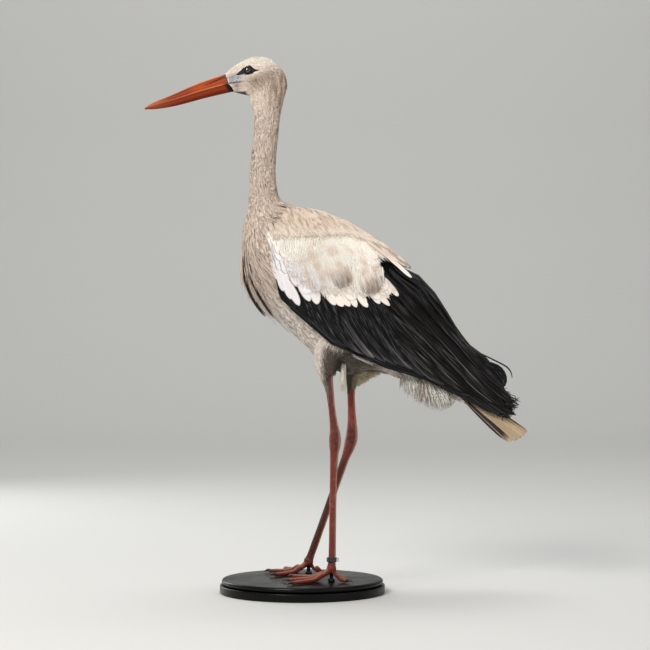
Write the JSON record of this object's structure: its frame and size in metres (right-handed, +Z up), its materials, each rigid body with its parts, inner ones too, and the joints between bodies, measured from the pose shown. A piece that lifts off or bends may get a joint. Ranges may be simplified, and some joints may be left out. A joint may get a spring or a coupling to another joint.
{
  "type": "mounted white stork specimen",
  "caption": "Life-size white stork on a round black stand, standing tall with folded black and white wings, a long red bill and long red legs, one set ahead of the other.",
  "frame": {"origin": "The centre of the round base's flat underside.", "axes": "+Z is up, from the base to the crown of the head; the bird faces -X and its left side is towards -Y."},
  "size_m": [0.6808, 0.2934, 0.9527],
  "materials": {
    "base_black": "black satin paint over wood",
    "rod_metal": "dark blued metal",
    "leg_skin": "dried scaly skin, dull red-brown",
    "claw_horn": "dark horn",
    "thigh_feathers": "short white feathers",
    "head_feathers": "very short white feathers",
    "eye_dark": "dark glass eye",
    "bill_horn": "orange-red horn, semi-gloss",
    "neck_feathers": "short beige feathers",
    "body_feathers": "beige-white body feathers",
    "breast_feathers": "long hanging beige feathers",
    "down_feathers": "loose white down",
    "tail_feathers": "cream tail feathers",
    "covert_feathers": "rounded white wing coverts",
    "flight_feathers": "black flight feathers, faint sheen",
    "ring_blue": "dark blue plastic",
    "plate_silver": "silver metal"
  },
  "bodies": {
    "root": {"base_lower_disc": "base_black", "base_upper_disc": "base_black", "belly_tuft": "down_feathers", "bill_lower": "bill_horn", "bill_upper": "bill_horn", "breast_plume": "breast_feathers", "claw_left_hind": "claw_horn", "claw_left_inner": "claw_horn", "claw_left_middle": "claw_horn", "claw_left_outer": "claw_horn", "claw_right_hind": "claw_horn", "claw_right_inner": "claw_horn", "claw_right_middle": "claw_horn", "claw_right_outer": "claw_horn", "eye_left": "eye_dark", "eye_right": "eye_dark", "foot_left": "leg_skin", "foot_right": "leg_skin", "head": "head_feathers", "hock_left": "leg_skin", "hock_right": "leg_skin", "leg_ring": "ring_blue", "leg_ring_plate": "plate_silver", "neck_lower": "neck_feathers", "neck_middle": "neck_feathers", "neck_upper": "neck_feathers", "rod_left": "rod_metal", "rod_right": "rod_metal", "tail": "tail_feathers", "tarsus_left": "leg_skin", "tarsus_right": "leg_skin", "thigh_left": "thigh_feathers", "thigh_right": "thigh_feathers", "tibia_left": "leg_skin", "tibia_right": "leg_skin", "toe_left_hind": "leg_skin", "toe_left_inner": "leg_skin", "toe_left_middle": "leg_skin", "toe_left_outer": "leg_skin", "toe_right_hind": "leg_skin", "toe_right_inner": "leg_skin", "toe_right_middle": "leg_skin", "toe_right_outer": "leg_skin", "trunk": "body_feathers", "undertail_down": "down_feathers", "wing_left_coverts": "covert_feathers", "wing_left_flight": "flight_feathers", "wing_left_tertials": "flight_feathers", "wing_right_coverts": "covert_feathers", "wing_right_flight": "flight_feathers", "wing_right_tertials": "flight_feathers"}
  },
  "joints": []
}
